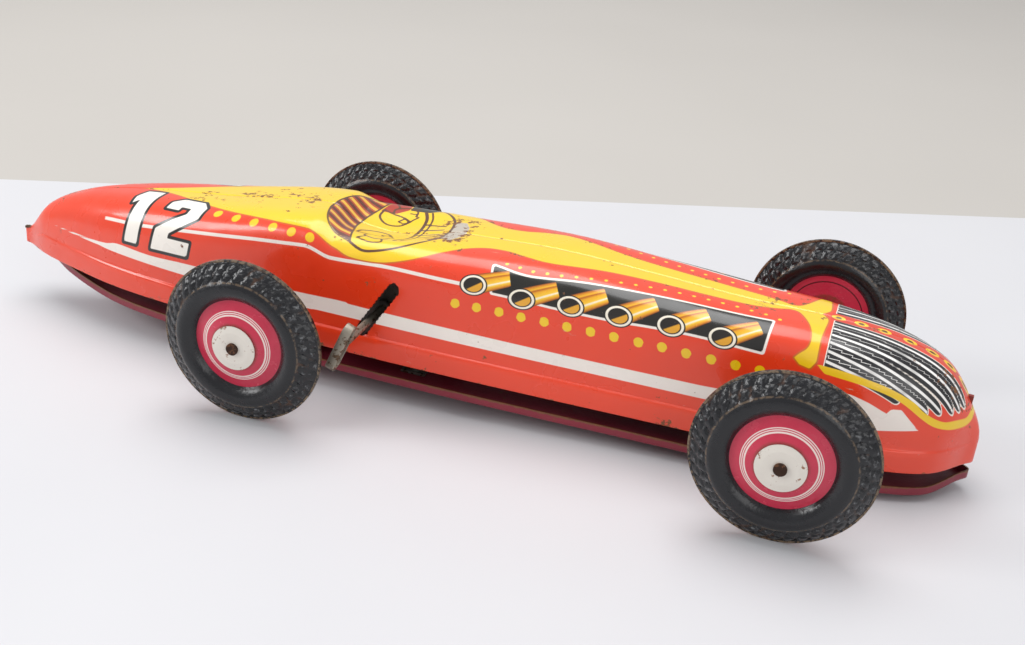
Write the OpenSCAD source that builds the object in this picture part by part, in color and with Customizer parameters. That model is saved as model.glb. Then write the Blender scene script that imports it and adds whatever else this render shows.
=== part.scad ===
// Clockwork tin racing car: two pressed half shells over a base pan, a plate-frame spring motor
// that drives the rear axle, and four wheels made of two pressed halves each.
// X runs to the nose, Y to the car's left, Z up. The origin is on the ground under the middle.

/* [Body] */
// Length of the body from the tail tip to the nose
body_length = 406; // [340:1:490]
// Width of the body at its skirt
body_width = 60; // [54:1:72]
// Height from the skirt's lower rim to the top of the cowl
body_height = 49; // [41:0.5:58]
// Height of the skirt's lower rim above the ground, under the origin
rim_height = 17.1; // [15:0.1:20]
// How far the body leans nose down
rake = 1.5; // [0:0.1:2]
// Thickness of the body sheet
sheet = 0.8; // [0.5:0.1:1.2]
// Height of the plain band between the rim and the pressed step
skirt_band = 8.5; // [6:0.1:10]
// Depth of the pressed step above the band
skirt_step = 1; // [0.4:0.1:1.6]
// Rise of the headrest behind the seat
headrest_rise = 3.3; // [0:0.1:6]
// Depth of the pressed cockpit
cockpit_depth = 4.5; // [1:0.1:7]

/* [Base pan] */
// Gap between the body rim and the upper edge of the pan
pan_gap = 6; // [4:0.1:8]
// Height of the pan's wall
pan_wall = 3.6; // [2.5:0.1:5]
// How far the pan's wall stands inside the body's outline
pan_inset = 0.5; // [0:0.1:2]
// How far the pan ends short of the body's tail
pan_tail_inset = 12; // [0:0.5:20]
// How far the pan sweeps up at the tail
pan_tail_lift = 5; // [0:0.5:6]
// How far the pan sweeps up at the nose
pan_nose_lift = 2.5; // [0:0.5:5]

/* [Wheels and axles] */
// Radius of a wheel at its seam
wheel_radius = 32; // [28:0.5:36]
// Half the distance between the two seams on one axle
half_track = 63; // [56:0.5:70]
// Front axle's place along the car
front_axle_x = 140; // [120:1:150]
// Rear axle's place along the car
rear_axle_x = -60; // [-62:1:-58]
// Radius of both axles
axle_radius = 1.6; // [1.2:0.1:2]
// Thickness of the wheel sheet
wheel_sheet = 0.6; // [0.4:0.1:0.8]
// Radius of the red disc in a wheel
disc_radius = 17.5; // [15:0.5:19]
// Radius of a hub cap
cap_radius = 8.7; // [7:0.1:10]

/* [Motor] */
// Place of the winding arbor along the body
arbor_x = -25.9; // [-28:0.1:-24]
// Height of the winding arbor
arbor_z = 31.6; // [31:0.1:34]
// Gear module
gear_module = 0.8; // [0.78:0.01:0.84]
// Teeth on the great gear
great_teeth = 48; // [44:1:50]
// Teeth on the intermediate gear
middle_teeth = 36; // [32:1:38]
// Teeth on both pinions
pinion_teeth = 12; // [11:1:13]
// Teeth on the ratchet wheel
ratchet_teeth = 12; // [12:4:16]
// Distance from the middle plane to the outer face of each motor plate
plate_reach = 12; // [11.5:0.1:14]
// Thickness of the motor plates
plate_sheet = 1; // [0.8:0.1:1.5]
// Radius of the winding arbor
arbor_radius = 1.5; // [1.2:0.1:2]
// Width of the mainspring strip
spring_width = 11; // [8:0.5:12]
// Thickness of the mainspring strip
spring_sheet = 0.5; // [0.3:0.05:0.6]

/* [Key] */
// Length of the key's grip
key_length = 21; // [18:0.2:28]
// Depth of the key's folded loop
key_depth = 6.2; // [4:0.2:7]
// Width of the key's strip
key_strip = 3.6; // [3:0.2:8]
// Gap between the key and the rear tyre's inner face, mm
key_gap = 1.6; // [0.6:0.1:7]

/* [Fits] */
// Radial clearance of every running shaft
run_clear = 0.05; // [0.02:0.01:0.1]
// End clearance between pieces that turn past each other
side_clear = 0.3; // [0.2:0.05:0.6]

/* [Hidden] */

round_fn = 64;
overcut = 1;

// The body's plan and profile, as shares of its half width and height at equal steps of the
// half turn that spaces the stations, so that both ends come in round.
plan_shape = [0, 0.05, 0.26, 0.48, 0.72, 0.87, 0.95, 0.99, 1, 0.98, 0.945, 0.92, 0.875, 0.8, 0.58,
    0.165, 0];
profile_shape = [0.146, 0.182, 0.454, 0.639, 0.753, 0.833, 0.903, 0.933, 0.964, 0.997, 0.961,
    0.922, 0.916, 0.86, 0.718, 0.41, 0.173];
tail_roundness = 2.2;
hood_roundness = 5.5;
nose_roundness = 2.2;
stations = 44;
section_steps = 16;

half_length = body_length / 2;
half_width = body_width / 2;
step_height = 0.8;
seat_x = -0.135 * body_length;
headrest_start = -0.3 * body_length;
cockpit_x = -0.07 * body_length;
cockpit_length = 0.135 * body_length;
cockpit_width = 0.7 * body_width;
nose_tab_x = 0.965 * half_length;

pan_top = rim_height - pan_gap;
pan_floor = pan_top - pan_wall;
pan_face = pan_floor + sheet;

front_x = front_axle_x * cos(rake) - wheel_radius * sin(rake);
front_z = front_axle_x * sin(rake) + wheel_radius * cos(rake);
rear_x = rear_axle_x * cos(rake) - wheel_radius * sin(rake);
rear_z = rear_axle_x * sin(rake) + wheel_radius * cos(rake);

// Wheel section: radius and distance out from the seam plane.
disc_depth = 3;
hub_depth = 6.3;
cap_rise = 0.6;
tyre_bulge = 5.9;
tread_edge = disc_radius + 7.7;
hub_radius = 4;
head_rise = 0.9;
head_radius = 2.3;
axle_end = half_track + hub_depth + cap_rise + 0.4 + head_rise;
key_reach = half_track - tyre_bulge - key_gap;

great_radius = gear_module * great_teeth / 2;
middle_radius = gear_module * middle_teeth / 2;
pinion_radius = gear_module * pinion_teeth / 2;
drive_distance = middle_radius + pinion_radius;
great_distance = great_radius + pinion_radius;
train_span = norm([arbor_x - rear_x, arbor_z - rear_z]);
train_angle = atan2(rear_z - arbor_z, rear_x - arbor_x);
middle_turn = acos((great_distance ^ 2 + train_span ^ 2 - drive_distance ^ 2)
    / (2 * great_distance * train_span));
great_line = train_angle - middle_turn;
middle_x = arbor_x + great_distance * cos(great_line);
middle_z = arbor_z + great_distance * sin(great_line);
drive_line = atan2(rear_z - middle_z, rear_x - middle_x);

// Layers across the motor, from its right plate inwards.
plate_inner = plate_reach - plate_sheet;
gear_sheet = 1.5;
middle_layer = -plate_inner + 0.6;
great_layer = middle_layer + gear_sheet + 1.2;
ratchet_layer = great_layer + gear_sheet + side_clear;
ratchet_sheet = 1.4;
spring_layer = ratchet_layer + ratchet_sheet + 0.8;
ratchet_radius = 5;
ratchet_depth = 1.1;
click_x = 5.2;
click_z = 7;
spring_turns = 8;
spring_start = arbor_radius + 0.3;
spring_pitch = 1.75;
pillar_radius = 2;
pillars = [[rear_x - 6, rear_z + 20], [rear_x - 6, rear_z - 14], [arbor_x + 23, arbor_z + 16],
    [arbor_x + 23, arbor_z - 16]];
plate_round = 4;
slot_angle = 58;
slot_up = 19;
slot_down = 4;
slot_width = 4.8;
notch_width = 7;
bracket_sheet = 1.2;
bracket_width = 14;
ear_cover = 3.4;
rear_bracket_x = rear_x - 21;
rivet_radius = 1.2;
rivet_head = 2.2;
rivet_rise = 0.7;
rivet_gap = 0.25;
foot_depth = 0.75 * sheet;
body_rivet_drop = 9;
foot_width = 7;
key_sheet = 0.9;
key_lean = 22;

function blend_points(p0, p1, p2, p3, u) = 0.5 * (2 * p1 + (p2 - p0) * u
    + (2 * p0 - 5 * p1 + 4 * p2 - p3) * u ^ 2 + (3 * p1 - p0 - 3 * p2 + p3) * u ^ 3);

// Smooth value of a shape list at t, from 0 at the tail to 1 at the nose.
function shape_at(shape, t) =
    let (last = len(shape) - 1, k = min(floor(t * last), last - 1), u = t * last - k)
    blend_points(k == 0 ? 2 * shape[0] - shape[1] : shape[k - 1], shape[k], shape[k + 1],
        k == last - 1 ? 2 * shape[last] - shape[last - 1] : shape[k + 2], u);

function station_t(x) = acos(max(-1, min(1, -x / half_length))) / 180;
function ease(u) = let (c = max(0, min(1, u))) c * c * (3 - 2 * c);
function half_width_at(x) = half_width * max(0, shape_at(plan_shape, station_t(x)));
function headrest_at(x) = x < seat_x
    ? headrest_rise * ease((x - headrest_start) / (seat_x - headrest_start)) ^ 2
    : headrest_rise * (1 - ease((x - seat_x) / 12));
function top_at(x) = body_height * shape_at(profile_shape, station_t(x)) + headrest_at(x);
function dish_at(x, y) =
    let (d = ((x - cockpit_x) / cockpit_length * 2) ^ 2 + (y / cockpit_width * 2) ^ 2)
    d < 1 ? cockpit_depth * (1 - d) ^ 1.5 : 0;
function roundness_at(x) = x < 0
    ? tail_roundness
        + (hood_roundness - tail_roundness) * ease((x + half_length) / (0.85 * half_length))
    : hood_roundness
        + (nose_roundness - hood_roundness) * ease((x / half_length - 0.45) / 0.55);

// Height of the plain band above the rim; it gets lower towards both tips.
function band_at(x) = min(skirt_band, 0.4 * top_at(x));

// Half width of the body's inside at a height above the rim line.
function inside_at(x, z) =
    let (n = roundness_at(x), step_top = band_at(x) + step_height,
        rise = max(0, z - step_top) / (top_at(x) - step_top))
    half_width_at(x) * (1 - skirt_step / half_width) * (1 - rise ^ n) ^ (1 / n)
        * (1 - sheet / half_width);

// One cross-section of the right half, from the rim up to the centre seam, above the rim line.
function section(x) =
    let (w = half_width_at(x), h = top_at(x), n = roundness_at(x), band = band_at(x),
        inner = w * (1 - skirt_step / half_width), step_top = band + step_height)
    [[x, -w, 0], [x, -w, band], for (j = [2:section_steps])
        let (a = 90 * (j - 2) / (section_steps - 2), k = (cos(a) ^ n + sin(a) ^ n) ^ (-1 / n),
            y = -inner * cos(a) * k)
        [x, j == section_steps ? 0 : y, step_top + (h - step_top) * sin(a) * k - dish_at(x, y)]];

shell_outer = [for (i = [0:stations])
    section(i == 0 ? -half_length : i == stations ? half_length
        : -half_length * cos(180 * i / stations))];
shell_shrink = [1 - sheet / half_length, 1 - sheet / half_width, 1 - sheet / body_height];
shell_inner = [for (s = shell_outer) [for (p = s)
    [p.x * shell_shrink.x, p.y * shell_shrink.y, p.z * shell_shrink.z]]];

// Half shell: outer and inner grids joined along the rim, the seam and both ends.
module half_shell() {
    row = section_steps + 1;
    count = row * (stations + 1);
    points = [for (s = shell_outer) each s, for (s = shell_inner) each s];
    outer = [for (i = [0:stations - 1], j = [0:section_steps - 1])
        let (a = i * row + j, b = a + row) each i < stations / 2
            ? [[b, b + 1, a + 1], [a + 1, a, b]]
            : [[b + 1, a + 1, a], [b, b + 1, a]]];
    inner = [for (f = outer) [f[2] + count, f[1] + count, f[0] + count]];
    rim = [for (i = [0:stations - 1])
        let (a = i * row, b = a + row) each [[b + count, b, a], [a + count, b + count, a]]];
    seam = [for (i = [0:stations - 1])
        let (a = i * row + section_steps, b = a + row)
        each [[a + count, a, b], [b + count, a + count, b]]];
    ends = [for (j = [0:section_steps - 1]) each
        let (a = j, b = stations * row + j)
        [[a + count, a, a + 1], [a + 1 + count, a + count, a + 1],
            [b + 1 + count, b + 1, b], [b + count, b + 1 + count, b]]];
    polyhedron(points, concat(outer, inner, rim, seam, ends), convexity = 6);
}

module raked() {
    rotate([0, rake, 0]) children();
}

module above_rim() {
    translate([0, 0, rim_height]) children();
}

// A round rod or tube across the car, from y0 to y1.
module across(x, z, y0, y1, r, bore = 0) {
    translate([x, y1, z]) rotate([90, 0, 0]) difference() {
        cylinder(h = y1 - y0, r = r, $fn = round_fn);
        if (bore > 0) {
            translate([0, 0, -overcut]) cylinder(h = y1 - y0 + 2 * overcut, r = bore, $fn = round_fn);
        }
    }
}

// A flat outline in X and Z, extruded across the car from y0 to y1.
module flat_across(y0, y1) {
    translate([0, y1, 0]) rotate([90, 0, 0]) linear_extrude(height = y1 - y0) children();
}

// Open notch that lets an axle in from below.
module axle_notch(x, z) {
    translate([x - notch_width / 2, -half_width - overcut, rim_height - overcut])
        cube([notch_width, body_width + 2 * overcut, z - rim_height + overcut]);
    across(x, z, -half_width - overcut, half_width + overcut, notch_width / 2);
}

module key_slot() {
    translate([arbor_x, 0, arbor_z]) rotate([0, 90 - slot_angle, 0]) {
        across(0, slot_up, -half_width - overcut, -half_width / 2, slot_width / 2);
        across(0, -slot_down, -half_width - overcut, -half_width / 2, slot_width / 2);
        translate([-slot_width / 2, -half_width - overcut, -slot_down])
            cube([slot_width, half_width / 2 + overcut, slot_up + slot_down]);
    }
}

module rivet_holes(side) {
    for (p = body_rivet_places()) {
        across(p.x, p.y, side > 0 ? half_width / 2 : -half_width - overcut,
            side > 0 ? half_width + overcut : -half_width / 2, rivet_radius);
    }
}

module body_shell_right() {
    color("orangered") raked() difference() {
        above_rim() half_shell();
        above_rim() nose_tab_blade();
        key_slot();
        axle_notch(front_x, front_z);
        axle_notch(rear_x, rear_z);
        rivet_holes(-1);
    }
}

module body_shell_left() {
    color("orangered") raked() difference() {
        above_rim() mirror([0, 1, 0]) half_shell();
        above_rim() nose_tab_blade();
        axle_notch(front_x, front_z);
        axle_notch(rear_x, rear_z);
        rivet_holes(1);
    }
}

// Tab of sheet that stands through the nose seam, a little proud of it.
module nose_tab_blade() {
    translate([nose_tab_x - 7, -sheet, top_at(nose_tab_x) - 3.5]) cube([8.6, 2 * sheet, 4]);
}

// The tab and the bar inside the nose that it is folded over.
module nose_seam_tab() {
    color("saddlebrown") raked() above_rim() {
        nose_tab_blade();
        translate([nose_tab_x - 8, -2.5, top_at(nose_tab_x) - 4.5]) cube([1.5, 5, 5]);
    }
}

// Outline of the body at its rim, brought in by a distance, and shorter at the tail.
function rim_outline(inset) =
    let (k = 1 - inset / half_width, xs = [for (i = [0:32]) -half_length * cos(180 * i / 32)],
        px = [for (x = xs) x * (1 - inset / half_length) + (x < 0 ? -pan_tail_inset * x / half_length
            : 0)])
    concat([for (i = [0:32]) [px[i], -half_width_at(xs[i]) * k]],
        [for (i = [31:-1:1]) [px[i], half_width_at(xs[i]) * k]]);

// Lower edge of the pan, which sweeps up at both ends.
function pan_bottom(x) = pan_floor + pan_tail_lift * ease((-x / half_length - 0.72) / 0.25)
    + pan_nose_lift * ease((x / half_length - 0.92) / 0.08);

// Solid with the pan's plan and a side outline from one height above its lower edge to another.
module pan_block(inset, from, to) {
    xs = [for (i = [0:32]) -(half_length + overcut) * cos(180 * i / 32)];
    intersection() {
        linear_extrude(height = rim_height) polygon(rim_outline(inset));
        flat_across(-half_width, half_width) polygon(concat(
            [for (x = xs) [x, pan_bottom(x) + from]],
            [for (i = [32:-1:0]) [xs[i], pan_bottom(xs[i]) + to]]));
    }
}

module base_pan() {
    color("firebrick") raked() difference() {
        pan_block(pan_inset, 0, pan_wall);
        pan_block(pan_inset + sheet, sheet, pan_wall + overcut);
        for (p = pan_rivet_places()) {
            translate([p.x, p.y, pan_floor - overcut])
                cylinder(h = pan_wall, r = rivet_radius, $fn = round_fn);
            translate([p.x, p.y, pan_floor]) rivet_foot(overcut);
        }
    }
}

// Ears stand just inside the narrowest place that the shell leaves them.
function ear_at(x, top) = min([for (dx = [-1, 1]) inside_at(x + dx * bracket_width / 2,
    top - rim_height)]) - 0.15;
function front_ear() = ear_at(front_x, front_z + ear_cover);
function rear_ear() = ear_at(rear_bracket_x, rear_z + ear_cover);
function body_rivet_places() = [[front_x, front_z - body_rivet_drop],
    [rear_bracket_x, rear_z]];
function motor_feet() = [rear_x + 1, arbor_x + 16];
function pan_rivet_places() = [for (s = [-1, 1]) each [[front_x, s * 12], [rear_bracket_x, s * 12],
    for (x = motor_feet()) [x, s * (plate_reach + foot_width / 2)]]];

// Strip bent into a U: its base lies on the pan and its ears stand inside the body's sides.
module u_bracket(x, ear, height, bores) {
    difference() {
        union() {
            translate([x - bracket_width / 2, -ear, pan_face])
                cube([bracket_width, 2 * ear, bracket_sheet]);
            for (s = [-1, 1]) {
                translate([x - bracket_width / 2, s > 0 ? ear - bracket_sheet : -ear, pan_face])
                    cube([bracket_width, bracket_sheet, height]);
            }
        }
        for (b = bores) {
            across(x, b[0], -ear - overcut, ear + overcut, b[1]);
        }
        for (s = [-1, 1]) {
            translate([x, s * 12, pan_face - overcut])
                cylinder(h = bracket_sheet + 2 * overcut, r = rivet_radius, $fn = round_fn);
        }
    }
}

module front_axle_bracket() {
    color("darkgray") raked() u_bracket(front_x, front_ear(), front_z + ear_cover - pan_face,
        [[front_z, axle_radius + run_clear], [front_z - body_rivet_drop, rivet_radius]]);
}

module rear_body_bracket() {
    color("darkgray") raked() u_bracket(rear_bracket_x, rear_ear(), rear_z + ear_cover - pan_face,
        [[rear_z, rivet_radius]]);
}

// Shouldered rivets through the body's sides into the bracket ears.
module body_rivets() {
    ears = [front_ear(), rear_ear()];
    places = body_rivet_places();
    color("gray") raked() for (i = [0, 1]) {
        lift = places[i].y - rim_height;
        wall = inside_at(places[i].x, lift);
        outside = wall / shell_shrink.y + rivet_gap;
        for (side = [0, 1]) mirror([0, side, 0]) {
            across(places[i].x, places[i].y, ears[i] - bracket_sheet - rivet_rise,
                outside + rivet_rise, rivet_radius);
            across(places[i].x, places[i].y, outside, outside + rivet_rise, rivet_head);
            across(places[i].x, places[i].y, ears[i], wall - rivet_gap, rivet_head);
            across(places[i].x, places[i].y, ears[i] - bracket_sheet - rivet_rise,
                ears[i] - bracket_sheet, rivet_head);
        }
    }
}

// Countersunk foot of a pan rivet, flush with the pan's underside.
module rivet_foot(extra) {
    grow = extra * (rivet_head - rivet_radius) / foot_depth;
    translate([0, 0, -extra])
        cylinder(h = foot_depth + extra, r1 = rivet_head + grow, r2 = rivet_radius, $fn = round_fn);
}

// Rivets that hold the brackets and the motor's feet on the pan.
module pan_rivets() {
    color("gray") raked() for (p = pan_rivet_places()) {
        grip = abs(p.y) > plate_reach ? plate_sheet : bracket_sheet;
        translate([p.x, p.y, pan_floor]) {
            cylinder(h = sheet + grip, r = rivet_radius, $fn = round_fn);
            translate([0, 0, sheet + grip])
                cylinder(h = rivet_rise, r = rivet_head, $fn = round_fn);
            rivet_foot(0);
        }
    }
}

// Axle with both ends spread over the hub caps. It stands in the ground frame.
module axle(x) {
    color("saddlebrown") {
        across(x, wheel_radius, -axle_end, axle_end, axle_radius);
        for (s = [-1, 1]) {
            across(x, wheel_radius, s > 0 ? axle_end - head_rise : -axle_end,
                s > 0 ? axle_end : head_rise - axle_end, head_radius);
        }
    }
}

// One pressed wheel half: the list runs from the bore to the seam, as radius and depth.
module wheel_half(x, side, face) {
    translate([x, side * half_track, wheel_radius]) rotate([side > 0 ? -90 : 90, 0, 0])
        rotate_extrude($fn = round_fn)
            polygon(concat(face, [for (i = [len(face) - 1:-1:0]) face[i] - [0, wheel_sheet]]));
}

tyre_face = [[disc_radius, disc_depth], [disc_radius + 1.4, disc_depth + 1.7],
    [disc_radius + 3.8, tyre_bulge], [disc_radius + 5.8, tyre_bulge - 0.1],
    [tread_edge, tyre_bulge - 0.9], [tread_edge + 3.2, tyre_bulge - 2.6],
    [wheel_radius - 1.2, wheel_sheet + 0.7], [wheel_radius - 0.8, wheel_sheet],
    [wheel_radius, wheel_sheet]];

module wheel_outer(x, side) {
    color("black") wheel_half(x, side, concat([[axle_radius, hub_depth],
        [cap_radius - 0.5, hub_depth], [disc_radius - 1, disc_depth + 0.2]], tyre_face));
}

module wheel_inner(x, side) {
    color("black") translate([0, 2 * side * half_track, 0]) mirror([0, 1, 0])
        wheel_half(x, side, concat([[axle_radius, disc_depth + 1.5],
            [hub_radius, disc_depth + 1.5], [hub_radius + 1, disc_depth],
            [disc_radius - 1, disc_depth]], tyre_face));
}

// Domed cap between the wheel's hub and the axle's spread end.
module hub_cap(x, side) {
    color("whitesmoke") translate([x, side * half_track, wheel_radius])
        rotate([side > 0 ? -90 : 90, 0, 0]) rotate_extrude($fn = round_fn)
            polygon([[axle_radius, hub_depth], [cap_radius - 1, hub_depth],
                [cap_radius, hub_depth + 0.3], [cap_radius, hub_depth + cap_rise],
                [cap_radius - 2.5, hub_depth + cap_rise + 0.4],
                [axle_radius, hub_depth + cap_rise + 0.4]]);
}

// Collars fixed on an axle, which keep it from sliding across the car.
module axle_collars(x, stop) {
    color("gray") for (s = [-1, 1]) {
        across(x, wheel_radius, s > 0 ? stop + side_clear : -stop - side_clear - 3,
            s > 0 ? stop + side_clear + 3 : -stop - side_clear, axle_radius + 1.2, axle_radius);
    }
}

// Involute half tooth angle at a radius.
function tooth_angle(teeth, r) =
    let (base = gear_module * teeth / 2 * cos(20), q = acos(min(1, base / max(r, base))))
    90 / teeth - 3.2 / teeth + (tan(20) - tan(q)) * 180 / PI - 20 + q;

// Gear outline with stub teeth, one tooth on the +X axis.
module gear_outline(teeth, bore) {
    pitch = gear_module * teeth / 2;
    radii = [for (k = [0:4]) pitch - 1.05 * gear_module + k * 1.85 * gear_module / 4];
    difference() {
        polygon([for (i = [0:teeth - 1]) each concat(
            [for (r = radii) let (a = 360 * i / teeth - tooth_angle(teeth, r)) r * [cos(a), sin(a)]],
            [for (k = [4:-1:0]) let (r = radii[k], a = 360 * i / teeth + tooth_angle(teeth, r))
                r * [cos(a), sin(a)]])]);
        circle(r = bore, $fn = round_fn);
    }
}

module rear_axle_pinion() {
    color("goldenrod") translate([rear_axle_x, middle_layer + gear_sheet + 0.4, wheel_radius])
        rotate([90, 0, 0]) rotate([0, 0, drive_line + 180 - rake])
            linear_extrude(height = gear_sheet + 0.8)
                rotate([0, 0, 180 / pinion_teeth]) gear_outline(pinion_teeth, axle_radius);
}

// Motor plate with its feet on the pan; the bores carry the arbors and the rear axle.
module motor_plate(side) {
    y0 = side > 0 ? plate_inner : -plate_reach;
    low = pan_face;
    high = pillars[0].y + plate_round;
    back = pillars[0].x - plate_round;
    fore = pillars[2].x + plate_round;
    color("silver") raked() {
        difference() {
            union() {
                flat_across(y0, y0 + plate_sheet) polygon([[back, pillars[1].y - plate_round],
                    [back + 4, pillars[1].y - plate_round - 2], [back + 4, low], [back + 16, low],
                    [back + 16, low + 4], [fore - 16, low + 4], [fore - 16, low], [fore - 4, low],
                    [fore - 4, pillars[3].y - plate_round - 2], [fore, pillars[3].y - plate_round],
                    [fore, pillars[2].y], [fore - 4, pillars[2].y + plate_round],
                    [middle_x + 8, high], [back + 4, high], [back, high - 4]]);
                for (x = motor_feet()) {
                    translate([x - 5, side > 0 ? plate_inner : -plate_reach - foot_width, low])
                        cube([10, foot_width + plate_sheet, plate_sheet]);
                }
            }
            across(arbor_x, arbor_z, y0 - overcut, y0 + plate_sheet + overcut,
                arbor_radius + run_clear);
            across(rear_x, rear_z, y0 - overcut, y0 + plate_sheet + overcut,
                axle_radius + run_clear);
            across(middle_x, middle_z, y0 - overcut, y0 + plate_sheet + overcut,
                axle_radius + run_clear);
            for (p = pillars) {
                across(p.x, p.y, y0 - overcut, y0 + plate_sheet + overcut, pillar_radius / 2);
            }
            for (x = motor_feet()) {
                translate([x, side * (plate_reach + foot_width / 2), low - overcut])
                    cylinder(h = plate_sheet + 2 * overcut, r = rivet_radius, $fn = round_fn);
            }
        }
    }
}

// Pillars that space the plates; their thin ends are spread over the outside.
module motor_pillars() {
    color("silver") raked() for (p = pillars) {
        across(p.x, p.y, -plate_inner, plate_inner, pillar_radius);
        across(p.x, p.y, -plate_reach, plate_reach, pillar_radius / 2);
        for (s = [-1, 1]) {
            across(p.x, p.y, s > 0 ? plate_reach : -plate_reach - rivet_rise,
                s > 0 ? plate_reach + rivet_rise : -plate_reach, pillar_radius * 0.8);
        }
    }
}

function spiral(a, grow) = (spring_start + spring_pitch * a / 360 + grow) * [cos(a), sin(a)];

// Flat spiral spring; its outer end lies against the lower front pillar.
module mainspring() {
    turn_steps = 24;
    steps = spring_turns * turn_steps;
    end_angle = 360 * spring_turns;
    tail_side = spring_start + spring_pitch * spring_turns;
    color("steelblue") raked() translate([arbor_x, 0, arbor_z]) flat_across(spring_layer,
        spring_layer + spring_width)
        rotate([0, 0, -90]) {
            polygon(concat([for (i = [0:steps]) spiral(end_angle * i / steps, 0)],
                [for (i = [steps:-1:0]) spiral(end_angle * i / steps, spring_sheet)]));
            polygon([[tail_side, 0], [tail_side, 23 - pillar_radius],
                [tail_side + spring_sheet, 23 - pillar_radius], [tail_side + spring_sheet, 0]]);
        }
}

module great_gear() {
    color("goldenrod") raked() translate([arbor_x, great_layer + gear_sheet, arbor_z])
        rotate([90, 0, 0]) difference() {
            linear_extrude(height = gear_sheet) rotate([0, 0, great_line])
                gear_outline(great_teeth, arbor_radius + run_clear);
            for (a = [120:60:360]) {
                rotate([0, 0, a]) translate([great_radius * 0.7, 0, -overcut])
                    cylinder(h = gear_sheet + 2 * overcut, r = great_radius * 0.11,
                        $fn = round_fn);
            }
            translate([click_x, click_z, -overcut])
                cylinder(h = gear_sheet + 2 * overcut, r = 1, $fn = round_fn);
        }
}

// Saw-toothed wheel fixed on the arbor; the click drops behind its teeth.
module ratchet_wheel() {
    pitch = 360 / ratchet_teeth;
    color("dimgray") raked() translate([arbor_x, ratchet_layer + ratchet_sheet, arbor_z])
        rotate([90, 0, 0]) linear_extrude(height = ratchet_sheet) difference() {
            polygon([for (i = [0:ratchet_teeth - 1]) each
                [ratchet_radius * [cos(i * pitch), sin(i * pitch)],
                    (ratchet_radius - ratchet_depth) * [cos(i * pitch + 1), sin(i * pitch + 1)]]]);
            circle(r = arbor_radius, $fn = round_fn);
        }
}

// Pawl on the great gear; its nose lies in a tooth of the ratchet wheel.
module click() {
    color("dimgray") raked()
        translate([arbor_x + click_x, ratchet_layer + ratchet_sheet, arbor_z + click_z])
            rotate([90, 0, 0]) linear_extrude(height = ratchet_sheet) difference() {
                union() {
                    circle(r = 2.2, $fn = round_fn);
                    polygon([[-1.15, -6.85], [0.1, -6.85], [1.4, -2], [2, 0], [-2, 0], [-0.6, -2],
                        [-0.6, -4.4], [-1.05, -6.1]]);
                }
                circle(r = 1 + run_clear, $fn = round_fn);
            }
}

module click_stud() {
    color("silver") raked() {
        across(arbor_x + click_x, arbor_z + click_z, great_layer,
            ratchet_layer + ratchet_sheet + 0.1, 1);
        across(arbor_x + click_x, arbor_z + click_z, ratchet_layer + ratchet_sheet + 0.1,
            ratchet_layer + ratchet_sheet + 0.6, 1.7);
    }
}

// Leaf riveted to the great gear, which presses the click into the ratchet wheel.
module click_spring() {
    color("steelblue") raked() translate([arbor_x, 0, arbor_z])
        flat_across(great_layer + gear_sheet, ratchet_layer + ratchet_sheet)
            translate([click_x, click_z]) polygon([[2.1, -3.8], [2.5, -3.8], [2.8, -0.5], [4, 2.6],
                [4.2, 5], [3, 5], [3, 2.8], [2.5, -0.4]]);
}

module winding_arbor() {
    color("gray") raked() {
        across(arbor_x, arbor_z, key_sheet - key_reach, plate_reach + 1.5, arbor_radius);
        across(arbor_x, arbor_z, plate_reach + 0.7, plate_reach + 1.5, arbor_radius + 1);
    }
}

module arbor_collar() {
    color("silver") raked() across(arbor_x, arbor_z, -plate_reach - side_clear - 2,
        -plate_reach - side_clear, arbor_radius + 1.6, arbor_radius);
}

// Strip folded into a long loop; its two ends meet the arbor.
module winding_key() {
    round_end = key_depth / 2;
    run = key_length / 2 - round_end;
    color("lightslategray") raked()
        translate([arbor_x, -key_reach + key_depth / 2, arbor_z]) rotate([0, key_lean, 0])
            difference() {
                translate([-key_strip / 2, 0, 0]) rotate([90, 0, 90])
                    linear_extrude(height = key_strip) difference() {
                        union() {
                            square([key_depth, 2 * run], center = true);
                            for (s = [-1, 1]) {
                                translate([0, s * run]) circle(r = round_end, $fn = round_fn);
                            }
                        }
                        square([key_depth - 2 * key_sheet, 2 * run], center = true);
                        for (s = [-1, 1]) {
                            translate([0, s * run])
                                circle(r = round_end - key_sheet, $fn = round_fn);
                        }
                    }
                across(0, 0, key_sheet - key_depth / 2, key_depth / 2 + overcut, arbor_radius);
            }
}

// Arbor with the pinion that the great gear drives.
module middle_arbor() {
    color("goldenrod") raked() {
        across(middle_x, middle_z, -plate_reach - 0.8, plate_reach + 0.8, axle_radius);
        translate([middle_x, great_layer + gear_sheet + 0.4, middle_z]) rotate([90, 0, 0])
            linear_extrude(height = gear_sheet + 0.8) rotate([0, 0, great_line + 180])
                rotate([0, 0, 180 / pinion_teeth]) gear_outline(pinion_teeth, axle_radius / 2);
    }
}

module middle_gear() {
    color("goldenrod") raked() translate([middle_x, middle_layer + gear_sheet, middle_z])
        rotate([90, 0, 0]) difference() {
            linear_extrude(height = gear_sheet) rotate([0, 0, drive_line])
                gear_outline(middle_teeth, axle_radius);
            for (a = [0:72:288]) {
                rotate([0, 0, a]) translate([middle_radius * 0.6, 0, -overcut])
                    cylinder(h = gear_sheet + 2 * overcut, r = middle_radius * 0.16,
                        $fn = round_fn);
            }
        }
}

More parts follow.
